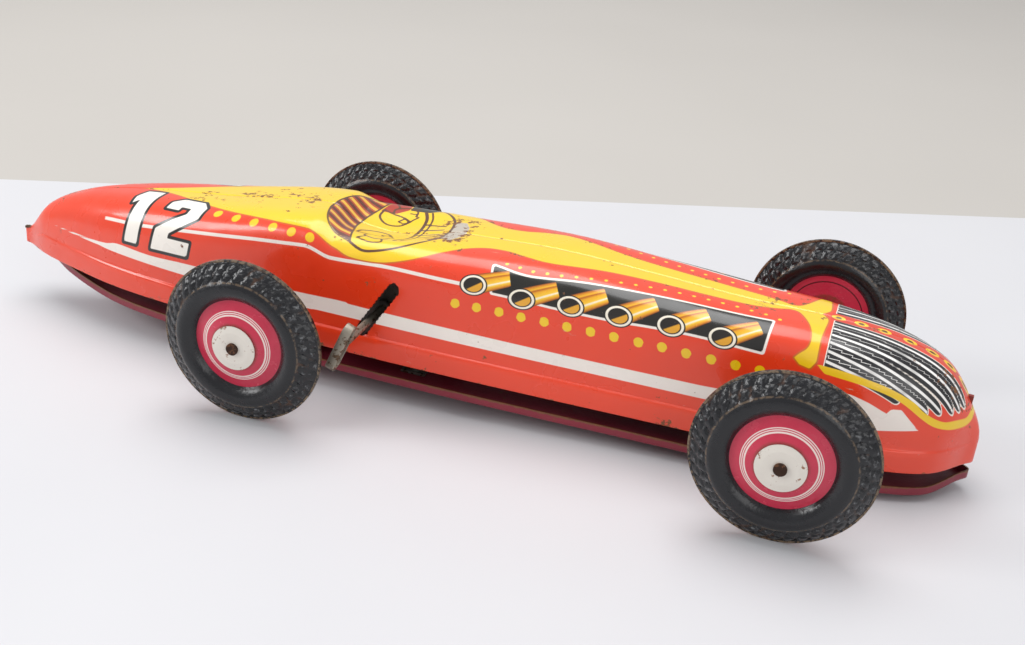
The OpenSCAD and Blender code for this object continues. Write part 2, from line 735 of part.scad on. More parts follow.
body_shell_right();
body_shell_left();
nose_seam_tab();
base_pan();
front_axle_bracket();
rear_body_bracket();
body_rivets();
pan_rivets();
axle(front_axle_x);  // front_axle
wheel_outer(front_axle_x, -1);  // front_right_wheel_outer
wheel_inner(front_axle_x, -1);  // front_right_wheel_inner
wheel_outer(front_axle_x, 1);  // front_left_wheel_outer
wheel_inner(front_axle_x, 1);  // front_left_wheel_inner
hub_cap(front_axle_x, -1);  // front_right_hub_cap
hub_cap(front_axle_x, 1);  // front_left_hub_cap
axle_collars(front_axle_x, half_width);  // front_axle_collars
axle(rear_axle_x);  // rear_axle
wheel_outer(rear_axle_x, -1);  // rear_right_wheel_outer
wheel_inner(rear_axle_x, -1);  // rear_right_wheel_inner
wheel_outer(rear_axle_x, 1);  // rear_left_wheel_outer
wheel_inner(rear_axle_x, 1);  // rear_left_wheel_inner
hub_cap(rear_axle_x, -1);  // rear_right_hub_cap
hub_cap(rear_axle_x, 1);  // rear_left_hub_cap
axle_collars(rear_axle_x, plate_reach);  // rear_axle_collars
rear_axle_pinion();
motor_plate(-1);  // motor_plate_right
motor_plate(1);  // motor_plate_left
motor_pillars();
mainspring();
great_gear();
ratchet_wheel();
click();
click_stud();
click_spring();
winding_arbor();
arbor_collar();
winding_key();
middle_arbor();
middle_gear();
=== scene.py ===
"""A lithographed tin racing car with a clockwork motor, in metres."""
import math

import bpy
import numpy as np
from mathutils import Matrix


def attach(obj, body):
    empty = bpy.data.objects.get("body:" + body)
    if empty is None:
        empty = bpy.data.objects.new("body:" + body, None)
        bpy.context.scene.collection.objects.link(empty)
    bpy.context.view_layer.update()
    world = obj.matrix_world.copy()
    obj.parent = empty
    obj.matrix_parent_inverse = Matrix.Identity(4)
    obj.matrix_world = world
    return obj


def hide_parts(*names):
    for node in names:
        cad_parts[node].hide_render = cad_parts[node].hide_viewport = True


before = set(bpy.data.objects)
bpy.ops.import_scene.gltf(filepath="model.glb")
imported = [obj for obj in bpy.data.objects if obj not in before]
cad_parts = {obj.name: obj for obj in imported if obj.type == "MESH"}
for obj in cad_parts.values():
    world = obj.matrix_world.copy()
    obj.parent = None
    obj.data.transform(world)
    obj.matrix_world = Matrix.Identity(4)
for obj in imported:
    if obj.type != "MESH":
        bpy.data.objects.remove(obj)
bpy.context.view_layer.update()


# Table and studio. A white painted table top stands before a greige floor, under one large
# soft light from above, a window on the left and a weak fill.
def linear(code):
    """Linear RGBA of an sRGB hex colour."""
    parts = [int(code[i:i + 2], 16) / 255 for i in (0, 2, 4)]
    return (*[v / 12.92 if v < 0.04045 else ((v + 0.055) / 1.055) ** 2.4 for v in parts], 1)


def wire(tree, kind, *values, **settings):
    """Adds one node with its settings and its links, and returns its first output."""
    node = tree.nodes.new(kind)
    for name, value in settings.items():
        setattr(node, name, value)
    for socket, value in zip([s for s in node.inputs if s.enabled], values):
        if isinstance(value, bpy.types.NodeSocket):
            tree.links.new(value, socket)
        elif value is not None:
            socket.default_value = value
    return next(s for s in node.outputs if s.enabled)


def new_material(name, **sockets):
    """A Principled material: constants go on the shader's sockets."""
    material = bpy.data.materials.new(name)
    material.use_nodes = True
    shader = material.node_tree.nodes["Principled BSDF"]
    for key, value in sockets.items():
        shader.inputs[key.replace("_", " ")].default_value = value
    return material, material.node_tree, shader


def mesh_object(name, verts, faces):
    """An object at the origin with this mesh."""
    mesh = bpy.data.meshes.new(name)
    mesh.from_pydata([tuple(v) for v in verts], [], [tuple(f) for f in faces])
    mesh.update()
    piece = bpy.data.objects.new(name, mesh)
    bpy.context.scene.collection.objects.link(piece)
    return piece


def only(piece):
    """Selects this piece alone and makes it active."""
    bpy.ops.object.select_all(action="DESELECT")
    piece.select_set(True)
    bpy.context.view_layer.objects.active = piece


# The table's far edge slants away to the left; the greige floor lies just under its top.
table = mesh_object("table_top", [(-9, -9, 0), (9, -9, 0), (9, 3.889, 0), (-9, -3.421, 0)],
                    [(0, 1, 2, 3)])
ground = mesh_object("back_floor", [(-9, -9, -0.001), (9, -9, -0.001), (9, 9, -0.001),
                                    (-9, 9, -0.001)],
                     [(0, 1, 2, 3)])
# Matt white paint on a board, with a faint sheen.
painted, tree, shader = new_material("matt_white_paint", Roughness=0.5, IOR=1.45)
spot = wire(tree, "ShaderNodeTexCoord").node.outputs["Object"]
cloud = wire(tree, "ShaderNodeTexNoise", spot, 6.0, 3.0)
tree.links.new(wire(tree, "ShaderNodeMix", cloud, linear("CFCFD1"), linear("C8C8CB"),
                    data_type="RGBA"), shader.inputs["Base Color"])
table.data.materials.append(painted)
# Greige wall paint, fully matt.
greige, tree, shader = new_material("matt_greige_paint", Roughness=0.7, IOR=1.45)
spot = wire(tree, "ShaderNodeTexCoord").node.outputs["Object"]
cloud = wire(tree, "ShaderNodeTexNoise", spot, 3.0, 2.0)
tree.links.new(wire(tree, "ShaderNodeMix", cloud, linear("BDB9B3"), linear("B4B0AA"),
                    data_type="RGBA"), shader.inputs["Base Color"])
ground.data.materials.append(greige)

camera = bpy.data.objects.new("camera", bpy.data.cameras.new("camera"))
# The turn is a rotation vector in radians, from the room's axes to right, down and forwards.
camera.data.lens = 45.8
camera.data.sensor_width = 36
camera.data.clip_start = 0.01
turn = np.array([1.982, 0.365, -0.144])
angle = np.linalg.norm(turn)
world_to_view = np.array(Matrix.Rotation(angle, 3, (turn / angle).tolist()))
view_axes = np.stack([world_to_view[0], -world_to_view[1], -world_to_view[2]], 1)
camera.matrix_world = Matrix.Translation((0.16006, -0.44577, 0.25053)) @ Matrix(
    view_axes.tolist()).to_4x4()
bpy.context.scene.collection.objects.link(camera)
bpy.context.scene.camera = camera
bpy.context.scene.view_settings.view_transform = "Standard"

for name, place, target, size, power in (
        ("overhead", (-0.15, 0.25, 1.5), (0, 0, 0), 1.3, 20),
        ("window", (-1.3, -0.7, 0.9), (0, 0, 0), 0.6, 10),
        ("fill", (1.1, -1.2, 0.8), (0, 0, 0), 1.0, 5)):
    lamp = bpy.data.objects.new(name, bpy.data.lights.new(name, "AREA"))
    lamp.data.size = size
    lamp.data.energy = power
    aim = Matrix.Translation(place).to_translation() - Matrix.Translation(target).to_translation()
    lamp.matrix_world = Matrix.Translation(place) @ aim.to_track_quat("Z", "Y").to_matrix().to_4x4()
    bpy.context.scene.collection.objects.link(lamp)
world = bpy.data.worlds.new("room")
world.use_nodes = True
world.node_tree.nodes["Background"].inputs[0].default_value = linear("F2F2F5")
world.node_tree.nodes["Background"].inputs[1].default_value = 0.62
bpy.context.scene.world = world

# Body halves. Each is one sheet of 0.8 mm tinplate, lithographed flat, then pressed and joined
# to the other along the middle. The sheets are made in mesh code, because the print needs a
# fine even grid and the pressing follows the same curves as the frame.
LENGTH, WIDTH, HEIGHT = 406, 60, 49
HALF = LENGTH / 2
RIM, RAKE = 17.1, math.radians(1.5)
BAND, STEP = 8.5, 1.0
PLAN = [0, 0.05, 0.26, 0.48, 0.72, 0.87, 0.95, 0.99, 1, 0.98, 0.945, 0.92, 0.875, 0.8, 0.58,
        0.165, 0]
PROFILE = [0.146, 0.182, 0.454, 0.639, 0.753, 0.833, 0.903, 0.933, 0.964, 0.997, 0.961, 0.922,
           0.916, 0.86, 0.718, 0.41, 0.173]
SLOT_FOOT, SLOT_TOP, SLOT_RADIUS = (-28.02, 11.11), (-15.83, 30.61), 2.4
NOTCHES, NOTCH_FOOT, NOTCH_RADIUS = [(139.12, 18.55), (-60.82, 13.32)], -20, 3.5
SNAP = 0.25
# Stretches of the body from x to x, and how many sections each gets: more where print is fine.
PITCHES = [(-203, -200, 3), (-200, -150, 36), (-150, -105, 66), (-105, -56, 56), (-56, 3, 130),
           (3, 142, 200), (142, 197, 84), (197, 203, 12)]
ROWS = 66
ROW = ROWS + 9


def shape_at(shape, x):
    """Smooth value of a shape list at x; its values are spaced evenly round a half turn."""
    t = np.arccos(np.clip(-x / HALF, -1, 1)) / math.pi * (len(shape) - 1)
    k = np.minimum(t.astype(int), len(shape) - 2)
    u = t - k
    p = np.array([2 * shape[0] - shape[1], *shape, 2 * shape[-1] - shape[-2]])
    a, b, c, d = p[k], p[k + 1], p[k + 2], p[k + 3]
    return 0.5 * (2 * b + (c - a) * u + (2 * a - 5 * b + 4 * c - d) * u ** 2
                  + (3 * b - a - 3 * c + d) * u ** 3)


def ease(u):
    u = np.clip(u, 0, 1)
    return u * u * (3 - 2 * u)


def half_width_at(x):
    return WIDTH / 2 * np.maximum(0, shape_at(PLAN, x))


def top_at(x):
    seat, start = -0.135 * LENGTH, -0.3 * LENGTH
    rest = np.where(x < seat, ease((x - start) / (seat - start)) ** 2, 1 - ease((x - seat) / 12))
    return HEIGHT * shape_at(PROFILE, x) + 3.3 * rest


def roundness_at(x):
    return np.where(x < 0, 2.2 + 3.3 * ease((x + HALF) / (0.85 * HALF)),
                    5.5 - 3.3 * ease((x / HALF - 0.45) / 0.55))


def dish_at(x, y):
    d = ((x + 0.07 * LENGTH) / (0.0675 * LENGTH)) ** 2 + (y / (0.35 * WIDTH)) ** 2
    return 4.5 * np.maximum(0, 1 - d) ** 1.5


def column(x):
    """Points of one section from the seam to the rim: y out, z above the rim, arc length."""
    x = np.array(x, float)
    w, h, n = float(half_width_at(x)), float(top_at(x)), float(roundness_at(x))
    band = min(BAND, 0.4 * h)
    inner, foot = w * (1 - STEP / (WIDTH / 2)), band + 0.8
    a = np.radians(np.linspace(90, 0, 500))
    k = (np.cos(a) ** n + np.sin(a) ** n) ** (-1 / n)
    y = inner * np.cos(a) * k
    y[0] = 0
    z = foot + (h - foot) * np.sin(a) * k - dish_at(x, y)
    arc = np.concatenate([[0], np.cumsum(np.hypot(np.diff(y), np.diff(z)))])
    u = np.arange(ROWS + 1) / ROWS
    share = np.where(u < 0.8, u * 0.78, 0.624 + (u - 0.8) * 1.88)
    share /= share[-1]
    t = share * arc[-1]
    py, pz = np.interp(t, arc, y), np.interp(t, arc, z)
    step = w - inner
    ty = np.array([inner + 0.25 * step, inner + 0.75 * step, w, w, w, w, w - 0.08, w - 0.35])
    tz = np.array([band + 0.55, band + 0.25, band - 0.1, band * 0.72, band * 0.4, 0.9, 0.25, 0])
    tt = t[-1] + np.cumsum(np.hypot(np.diff(np.r_[py[-1], ty]), np.diff(np.r_[pz[-1], tz])))
    py[0], py[1] = min(0.05, w * 0.2), max(py[1], 0.1)
    pz[0] -= 0.3
    return np.r_[py, ty], np.r_[pz, tz], np.r_[t, tt]


stations = np.concatenate(
    [np.linspace(a, b, n, endpoint=False) for a, b, n in PITCHES] + [[HALF]])
stations = np.clip(stations, -HALF + 0.04, HALF - 0.04)
columns = [column(x) for x in stations]
X = np.repeat(stations, ROW)
Y, Z, T = (np.concatenate([c[k] for c in columns]) for k in range(3))


# The print: every colour is an outline in millimetres along the body and down from the seam.
def smooth(points, steps=6):
    """A curve through the points."""
    p = np.array(points, float)
    q = np.vstack([2 * p[0] - p[1], p, 2 * p[-1] - p[-2]])
    out = []
    for i in range(len(q) - 3):
        a, b, c, d = q[i:i + 4]
        for u in np.arange(steps) / steps:
            out.append(0.5 * (2 * b + (c - a) * u + (2 * a - 5 * b + 4 * c - d) * u ** 2
                              + (3 * b - a - 3 * c + d) * u ** 3))
    return [tuple(v) for v in out] + [tuple(p[-1])]


def away_from(u, v, path):
    """Distance to the nearest point of an open path."""
    best = np.full(len(u), 1e9)
    for (x0, y0), (x1, y1) in zip(path, path[1:]):
        ex, ey = x1 - x0, y1 - y0
        k = np.clip(((u - x0) * ex + (v - y0) * ey) / (ex * ex + ey * ey + 1e-12), 0, 1)
        best = np.minimum(best, (u - x0 - k * ex) ** 2 + (v - y0 - k * ey) ** 2)
    return np.sqrt(best)


def depth_in(u, v, outline):
    """Distance to a closed outline, positive inside."""
    ring_path = outline + outline[:1]
    inside = np.zeros(len(u), bool)
    for (x0, y0), (x1, y1) in zip(ring_path, ring_path[1:]):
        if y0 != y1:
            inside ^= ((y0 > v) != (y1 > v)) & (u < x0 + (v - y0) * (x1 - x0) / (y1 - y0))
    return away_from(u, v, ring_path) * np.where(inside, 1, -1)


def stroke(u, v, path, half):
    """Distance inside a stroke of a given half width along an open path."""
    return half - away_from(u, v, path)


def union(*parts):
    """The deepest of several distances, so that their areas join."""
    return np.max(np.stack(parts), 0)


# Yellow headrest and hood with their flourish, and the border under the grille.
DECK = smooth([(-143, -0.5), (-126.4, 3.7), (-104, 12.6), (-88.5, 17.6), (-67.2, 22.2),
               (-52.7, 23.9), (-42.5, 26.7), (-36, 29.3), (-27, 29.9), (-18.7, 28.8), (-8.4, 25.1),
               (0.8, 19.4), (7.3, 14.5), (14.6, 11.3), (23, 11.3), (31, 13.5), (42, 14.5),
               (63, 9.5), (81, 7.5), (98, 6.7), (115, 5.5), (124, 3.6), (128, 2.1), (131, 2.4),
               (133.5, 5), (136.9, 11.7), (138.5, 18), (138.1, 22.4), (135.6, 25.4),
               (134.2, 27.2)]) + [(136.4, 29), (140.2, 29.4)] + smooth(
    [(141.9, 26.4), (141.7, 18.2), (142.1, 12.3), (142.5, 7), (142.2, 3.5), (139.5, -0.5)]) + [
    (139.5, -6), (-143, -6)]
BORDER = smooth([(145.5, 29.4), (150.8, 29.1), (161.4, 28.3), (172.2, 27.5), (181.1, 28.3),
                 (186.3, 26.9), (191.1, 22), (195.7, 13.2), (198.4, 5.2), (199, -1)]) + smooth(
    [(197.8, -1), (197.2, 4.8), (195.5, 10.5), (189.9, 20.8), (185.6, 24.5), (181, 25.6),
     (177.3, 24.9), (168.9, 25.1), (160.8, 25.8), (151.8, 26.3), (142.1, 27.1)])
yellow = depth_in(X, T, DECK)
border = depth_in(X, T, BORDER)
# Yellow dots in two rows, and the print of small rivet heads beside the hood.
dots = [(-96.4, 18.5), (-87.2, 20.8), (-78.4, 22.9), (-69.5, 24.7), (-61, 26.1), (-52.8, 27.0)]
dots += [(9.1, 39.8), (17.6, 39.9), (26.4, 40), (35, 40.3), (43.9, 40), (52.6, 39.6), (61.5, 38.9),
         (70.3, 38.3), (79.4, 37.7), (88.1, 37), (97, 36.7), (106.1, 36.2), (114.9, 35.7),
         (123.6, 35.2)]
dot_depth = union(*[1.9 - np.hypot(X - a, T - b) for a, b in dots])
small = [(25.5, 20.7), (36.6, 22.1), (46.8, 20.9), (56.8, 18.5), (67.2, 15.8), (77.5, 13.4),
         (87.8, 11.7), (98.7, 10.6), (109.4, 10.1), (120.6, 10.9), (130.1, 13.8)]
small = [(x, float(np.interp(x, *zip(*small)))) for x in np.arange(25.5, 131, 5.3)]
small_depth = union(*[0.75 - np.hypot(X - a, T - b) for a, b in small])

# Broad white stripe that ends in an arrow at the nose, and the thin line above it.
upper = smooth([(-185, 15.7), (-152, 17.5), (-142, 19.5), (-125, 19), (-103.5, 20), (-61, 20.3),
                (-35.5, 21), (-27, 20.3), (104, 19.3), (128, 22.6), (150, 27.5), (160.2, 26.2),
                (168.9, 22.6)], 4) + [(170.2, 24.4), (173.6, 24.5), (180.8, 17.4)]
lower = smooth([(167.6, 15.8), (140, 14.8), (104.5, 14.2), (-35, 14.8), (-54, 14.4),
                (-107.6, 14.8), (-144, 15.5), (-152, 15.9)], 4)
broad = depth_in(X, Z, upper + lower)
thin = stroke(X, T, smooth([(-150, 19.8), (-137, 23.1), (-125.6, 25), (-103, 27.2),
                            (-80, 29.4), (-64.5, 30.6), (-50, 30.7), (-36.9, 31.2),
                            (-18.4, 30.9), (10.1, 31.8)]), 0.68)
thin = np.minimum(thin, (X + 151) * 0.08)
white_low = np.where(T > 3, union(broad, thin), -5)

# Black exhaust panel with six gold pipes, each with a white-ringed mouth.
PANEL = smooth([(21.2, 22.6), (31.8, 24.6), (40.7, 24.3), (57.7, 21.4), (74.7, 19.1), (91.7, 17.3),
                (108.6, 15.9), (124, 14.8)], 4) + smooth(
    [(123.1, 28.4), (102.2, 28.8), (83.6, 30.3), (65.6, 32.3), (45.4, 33.5), (22.8, 33)], 4)
panel = depth_in(X, T, PANEL)
mouths = [(15.3, 31.5), (34.3, 33.4), (52.7, 31.6), (70.7, 30.2), (89.8, 28.4), (108.5, 27.4)]
ends = [(27.9, 26.8), (46.4, 27.2), (64.3, 24.4), (82.5, 22.2), (101.3, 20.5), (120, 19.9)]
pipe, across, ring = (np.full(len(X), v) for v in (-9.0, 0.0, 9.0))
glint = np.zeros(len(X))
for (mx, mt), (ex, et) in zip(mouths, ends):
    length = math.hypot(ex - mx, et - mt)
    ux, ut = (ex - mx) / length, (et - mt) / length
    along = (X - mx) * ux + (T - mt) * ut
    side = (X - mx) * ut - (T - mt) * ux
    reach = 3.9 - 0.75 * np.clip(along / length, 0, 1)
    tube = np.minimum(reach - np.abs(side), np.minimum(along, length - along + 0.6))
    turned = np.hypot((X - mx) * 0.94 + (T - mt) * -0.2, ((T - mt) * 0.98 + (X - mx) * 0.15) * 1.28)
    near = tube > pipe
    across = np.where(near & (tube > -1), side / reach, across)
    pipe = np.maximum(pipe, tube)
    closer = turned < ring
    glint = np.where(closer, (X - mx) * 0.55 + (T - mt) * 0.83, glint)
    ring = np.minimum(ring, turned)

# Grille: black ribs with white lines, each from its place at the rear to its place at its tip.
RIB_HALF = 2.15
ribs = [(5.2, 7.2, 194.7), (9.7, 11.4, 193.1), (13.9, 15.7, 190.9), (17.7, 20.8, 186.8),
        (21.3, 24.9, 182.3), (25.1, 27.2, 172)]
field, rib = np.full(len(X), -9.0), np.full(len(X), -9.0)
for t0, t1, tip in ribs:
    middle = t0 + (t1 - t0) * np.clip((X - 144.8) / (tip - 144.8), 0, 1.1)
    lobe = np.minimum(RIB_HALF - np.abs(T - middle), X - 144.8)
    lobe = np.where(X > tip - 2, RIB_HALF - np.hypot(T - middle, X - tip + 2), lobe)
    near = lobe > field
    rib = np.where(near, T - middle, rib)
    field = np.maximum(field, lobe)
ovals = union(*[2.2 - np.hypot((X - a) * 0.85, T * 1.25) for a in
                (145.8, 154, 162.4, 171.8, 180.1, 187, 193.3)])
strip = np.where((X > 143) & (X < 197), 3.2 - T, -5)


# Racing number in slanted blocks.
def letter(points, u_axis, v_axis, corner):
    """Points of a unit letter laid along two axes from a corner."""
    return [(corner[0] + a * u_axis[0] + b * v_axis[0], corner[1] + a * u_axis[1] + b * v_axis[1])
            for a, b in points]


ONE = [(-137.1, 3.6), (-128.9, 4.2), (-131.9, 32.1), (-138.4, 30.4), (-136.3, 11.5),
       (-139.2, 13.4), (-139.6, 9)]
TWO = letter([(0, .70), (0, .86), (.14, 1), (.52, 1), (.66, .86), (.66, .62), (.26, .30),
              (.26, .22), (.66, .22), (.66, 0), (0, 0), (0, .34), (.42, .66), (.42, .78),
              (.24, .78), (.24, .70)], (26.8, 5.2), (4.6, -25.4), (-124.6, 34))
# Cockpit: striped seat back, padded edge, wheel, dash and a plain generic driver in profile.
SEAT = smooth([(-54, -1), (-53.6, 5), (-50.7, 13.5), (-45.7, 19), (-37.2, 23.1)]) + smooth(
    [(-37.2, 22.9), (-39, 18), (-40.3, 13.6), (-42.4, 6), (-42.9, -1)])
seat = depth_in(X, T, SEAT)
WELL = smooth([(-43, -1), (-40.5, 13.6), (-37.2, 23), (-33, 25.3), (-29, 25.9), (-22, 24.0),
               (-16, 20.8), (-10.5, 15.5), (-7.3, 10.5), (-6, 5), (-5.6, -1)])
well = depth_in(X, T, WELL)
ink = union(
    stroke(X, T, smooth([(-37.2, 23.4), (-33, 25.6), (-29, 26.2), (-22, 24.3), (-16, 21.1),
                         (-10.5, 15.8), (-7.0, 10.5), (-5.7, 5), (-5.3, 0)]), 0.55),
    stroke(X, T, smooth([(-38.6, 13.6), (-38.4, 8.4), (-34, 4.6), (-28.6, 5.2), (-25.6, 9)]), 0.5),
    stroke(X, T, smooth([(-38.6, 13.6), (-34, 12.4), (-29, 11.4), (-25.4, 9.2)]), 0.45),
    stroke(X, T, smooth([(-30.2, 8.2), (-27.6, 7.4), (-26.2, 9), (-28.4, 10.6), (-30.2, 8.2)]),
           0.4),
    stroke(X, T, smooth([(-25.4, 9.4), (-24.7, 11), (-23.4, 12.8), (-24.7, 13.5), (-24.6, 15),
                         (-25.6, 17.2), (-29.4, 18.4), (-33.6, 16.6)]), 0.42),
    stroke(X, T, [(-27.6, 14.9), (-25.2, 14.7)], 0.36),
    stroke(X, T, smooth([(-34.2, 12.6), (-34.6, 15.4), (-33.4, 17.4), (-35.6, 20.4)]), 0.42),
    stroke(X, T, smooth([(-35.6, 20.4), (-30, 21.8), (-25.6, 20.8), (-26.4, 17.8)]), 0.42),
    stroke(X, T, smooth([(-21.6, 17), (-19.4, 12), (-18.6, 6), (-18.6, 0)]), 0.7),
    stroke(X, T, smooth([(-18.9, 17), (-16.9, 12), (-16.2, 6), (-16.2, 0)]), 0.42),
    stroke(X, T, [(-18.6, 8), (-9, 6)], 0.45), stroke(X, T, [(-18.8, 3), (-8.6, 2.6)], 0.45),
    stroke(X, T, smooth([(-54.2, 0), (-53.9, 5), (-51, 13.7), (-46, 19.3), (-37.3, 23.4)]), 0.4),
    stroke(X, T, smooth([(-42.7, 0), (-42.2, 6), (-40, 13.8), (-37.3, 23)]), 0.4))
dash = depth_in(X, T, [(-5.4, -1), (-5.6, 5), (-7.2, 9.4), (-1.6, 10), (1.2, 5), (1.8, -1)])
patch = depth_in(X, T, [(-39.6, 12), (-37, 22.6), (-29, 25.2), (-29, 17), (-33, 13)])
shade = depth_in(X, T, [(-28.6, 17), (-28.6, 25.2), (-21, 23), (-15, 19.5), (-20, 17)])


def digits_on(side):
    """The number on one side; on the left it is laid out afresh, so that it reads there too."""
    u, v = (X, T) if side < 0 else (-242 - X, T - 10)
    return union(depth_in(u, v, ONE), depth_in(u, v, TWO))


tin, tree, shader = new_material("lithographed_tinplate", Roughness=0.3, IOR=1.5,
                                 Coat_Weight=0.5, Coat_Roughness=0.1)
# Printed in oil inks on tin under a gloss varnish: even colour, sharp edges, a soft gloss with
# fine handling scratches, and brown rust where the print has worn through.
spot = wire(tree, "ShaderNodeTexCoord").node.outputs["Object"]


def layer(tree, colour, attribute, paint, low=-0.12, high=0.12, weight=1.0):
    """Prints one ink over the colours below, inside an attribute's outline."""
    depth = wire(tree, "ShaderNodeAttribute", attribute_name=attribute).node.outputs["Fac"]
    mask = wire(tree, "ShaderNodeMapRange", depth, low, high, 0.0, weight)
    return wire(tree, "ShaderNodeMix", mask, colour, paint, data_type="RGBA")


cloud = wire(tree, "ShaderNodeTexNoise", spot, 14.0, 3.0)
red = wire(tree, "ShaderNodeMix", cloud, linear("E03412"), linear("EA441C"), data_type="RGBA")
colour = layer(tree, red, "white_low", linear("EFE6DC"))
colour = layer(tree, colour, "edge", linear("C8641A"))
colour = layer(tree, colour, "yellow", linear("EFC40F"))
colour = layer(tree, colour, "small", linear("F0CB1E"))
colour = layer(tree, colour, "panel", linear("EFE9DF"), -1.0, -0.8)
colour = layer(tree, colour, "panel", linear("17150F"))
across_value = wire(tree, "ShaderNodeAttribute", attribute_name="across").node.outputs["Fac"]
ramp = wire(tree, "ShaderNodeValToRGB", wire(tree, "ShaderNodeMapRange", across_value,
                                              -1.0, 1.0, 0.0, 1.0))
marks = [(0.0, "7A3A12"), (0.1, "D98A1B"), (0.24, "F3C233"), (0.33, "F8F0D2"), (0.4, "F3C233"),
         (0.6, "E9A820"), (0.72, "B25A14"), (0.8, "EDB227"), (0.93, "C8761A"), (1.0, "6A3010")]
for place, code in marks[2:]:
    ramp.node.color_ramp.elements.new(place)
for element, (place, code) in zip(ramp.node.color_ramp.elements, marks):
    element.position = place
    element.color = linear(code)
colour = layer(tree, colour, "pipe", ramp)
ring_value = wire(tree, "ShaderNodeAttribute", attribute_name="ring").node.outputs["Fac"]
glint_value = wire(tree, "ShaderNodeAttribute", attribute_name="glint").node.outputs["Fac"]
hollow = wire(tree, "ShaderNodeMix",
              wire(tree, "ShaderNodeMapRange", glint_value, 0.1, 0.5, 0.0, 1.0),
              linear("1A130C"), linear("E3A32A"), data_type="RGBA")
for edge, paint in ((5.2, linear("17130D")), (4.65, linear("F3EBD8")), (3.75, linear("17130D")),
                    (3.25, hollow)):
    mask = wire(tree, "ShaderNodeMapRange", ring_value, edge - 0.1, edge + 0.1, 1.0, 0.0)
    colour = wire(tree, "ShaderNodeMix", mask, colour, paint, data_type="RGBA")
colour = layer(tree, colour, "field", linear("F0E8DC"), -0.45, -0.25)
colour = layer(tree, colour, "field", linear("141316"))
rib_value = wire(tree, "ShaderNodeAttribute", attribute_name="rib").node.outputs["Fac"]
# The white rib lines are print; this noise brightens them to full white in patches, a painted
# glare.
glare_patches = wire(tree, "ShaderNodeTexNoise", spot, 90.0, 2.0)
off_rib = wire(tree, "ShaderNodeMath", rib_value, operation="ABSOLUTE")
rib_mask = wire(tree, "ShaderNodeMapRange", off_rib, 0.4, 0.62, 1.0, 0.0)
inside_field = wire(tree, "ShaderNodeMapRange", wire(
    tree, "ShaderNodeAttribute", attribute_name="field").node.outputs["Fac"], 0.0, 0.3, 0.0, 1.0)
rib_mask = wire(tree, "ShaderNodeMath", rib_mask, inside_field, operation="MULTIPLY")
rib_mask = wire(tree, "ShaderNodeMath", rib_mask, wire(
    tree, "ShaderNodeMapRange", glare_patches, 0.32, 0.5, 0.45, 1.0), operation="MULTIPLY")
colour = wire(tree, "ShaderNodeMix", rib_mask, colour, linear("F0EEEA"), data_type="RGBA")
colour = layer(tree, colour, "border", linear("EFC40F"))
colour = layer(tree, colour, "strip", linear("D23A1E"))
colour = layer(tree, colour, "ovals", linear("F0C21E"))
colour = layer(tree, colour, "ovals", linear("5A3A14"), 1.0, 1.3)
seat_wave = wire(tree, "ShaderNodeTexWave", wire(
    tree, "ShaderNodeMapping", spot, None, (0.0, 0.0, math.radians(20))), 58.0,
    wave_type="BANDS", bands_direction="Y")
seat_paint = wire(tree, "ShaderNodeMix", wire(tree, "ShaderNodeMapRange", seat_wave, 0.75, 0.85,
                                               0.0, 1.0),
                  wire(tree, "ShaderNodeMix", wire(tree, "ShaderNodeMapRange", seat_wave, 0.2, 0.3,
                                                    1.0, 0.0), linear("A8421C"), linear("5E2412"),
                       data_type="RGBA"), linear("E2B03A"), data_type="RGBA")
colour = layer(tree, colour, "seat", seat_paint)
colour = layer(tree, colour, "patch", linear("A8321C"))
colour = layer(tree, colour, "shade", linear("33352A"))
colour = layer(tree, colour, "dash", linear("B9AFA0"))
colour = layer(tree, colour, "ink", linear("54300F"), -0.15, 0.12)
colour = layer(tree, colour, "digits", linear("15120F"), -1.45, -1.25)
colour = layer(tree, colour, "digits", linear("F2ECE2"))
# Wear: rust freckles gather on the headrest, the seam, the rim and the raised edges.
wear = wire(tree, "ShaderNodeAttribute", attribute_name="wear").node.outputs["Fac"]
freckle = wire(tree, "ShaderNodeTexNoise", spot, 420.0, 5.0, 0.65)
blotch = wire(tree, "ShaderNodeTexNoise", spot, 70.0, 4.0, 0.7)
rust = wire(tree, "ShaderNodeMath", wire(tree, "ShaderNodeMath", freckle, blotch,
                                          operation="MULTIPLY"),
            wire(tree, "ShaderNodeMath", wear, 0.22, operation="MULTIPLY"), operation="ADD")
rust = wire(tree, "ShaderNodeMapRange", rust, 0.385, 0.43, 0.0, 1.0)
rust_colour = wire(tree, "ShaderNodeMix", wire(tree, "ShaderNodeTexNoise", spot, 900.0, 2.0),
                   linear("4A2412"), linear("94602F"), data_type="RGBA")
colour = wire(tree, "ShaderNodeMix", rust, colour, rust_colour, data_type="RGBA")
scratch_map = wire(tree, "ShaderNodeMapping", spot, None, (0.0, 0.3, 0.4), (30.0, 420.0, 160.0))
scratch = wire(tree, "ShaderNodeTexNoise", scratch_map, 2.2, 5.0, 0.7)
scuffed = wire(tree, "ShaderNodeMapRange", scratch, 0.69, 0.73, 0.0, 0.7)
colour = wire(tree, "ShaderNodeMix", scuffed, colour, linear("C9B9A0"), data_type="RGBA")
tree.links.new(colour, shader.inputs["Base Color"])
handled = wire(tree, "ShaderNodeTexNoise", spot, 45.0, 4.0)
dull = wire(tree, "ShaderNodeMapRange", handled, 0.3, 0.7, 0.2, 0.42)
tree.links.new(wire(tree, "ShaderNodeMix", rust, dull, 0.85), shader.inputs["Roughness"])
ripple = wire(tree, "ShaderNodeTexNoise", spot, 38.0, 2.0)
relief = wire(tree, "ShaderNodeMath", wire(tree, "ShaderNodeMath", rust, 0.03,
                                            operation="MULTIPLY"), ripple, operation="ADD")
tree.links.new(wire(tree, "ShaderNodeBump", 0.5, 0.0028, None, relief).node.outputs["Normal"],
               shader.inputs["Normal"])

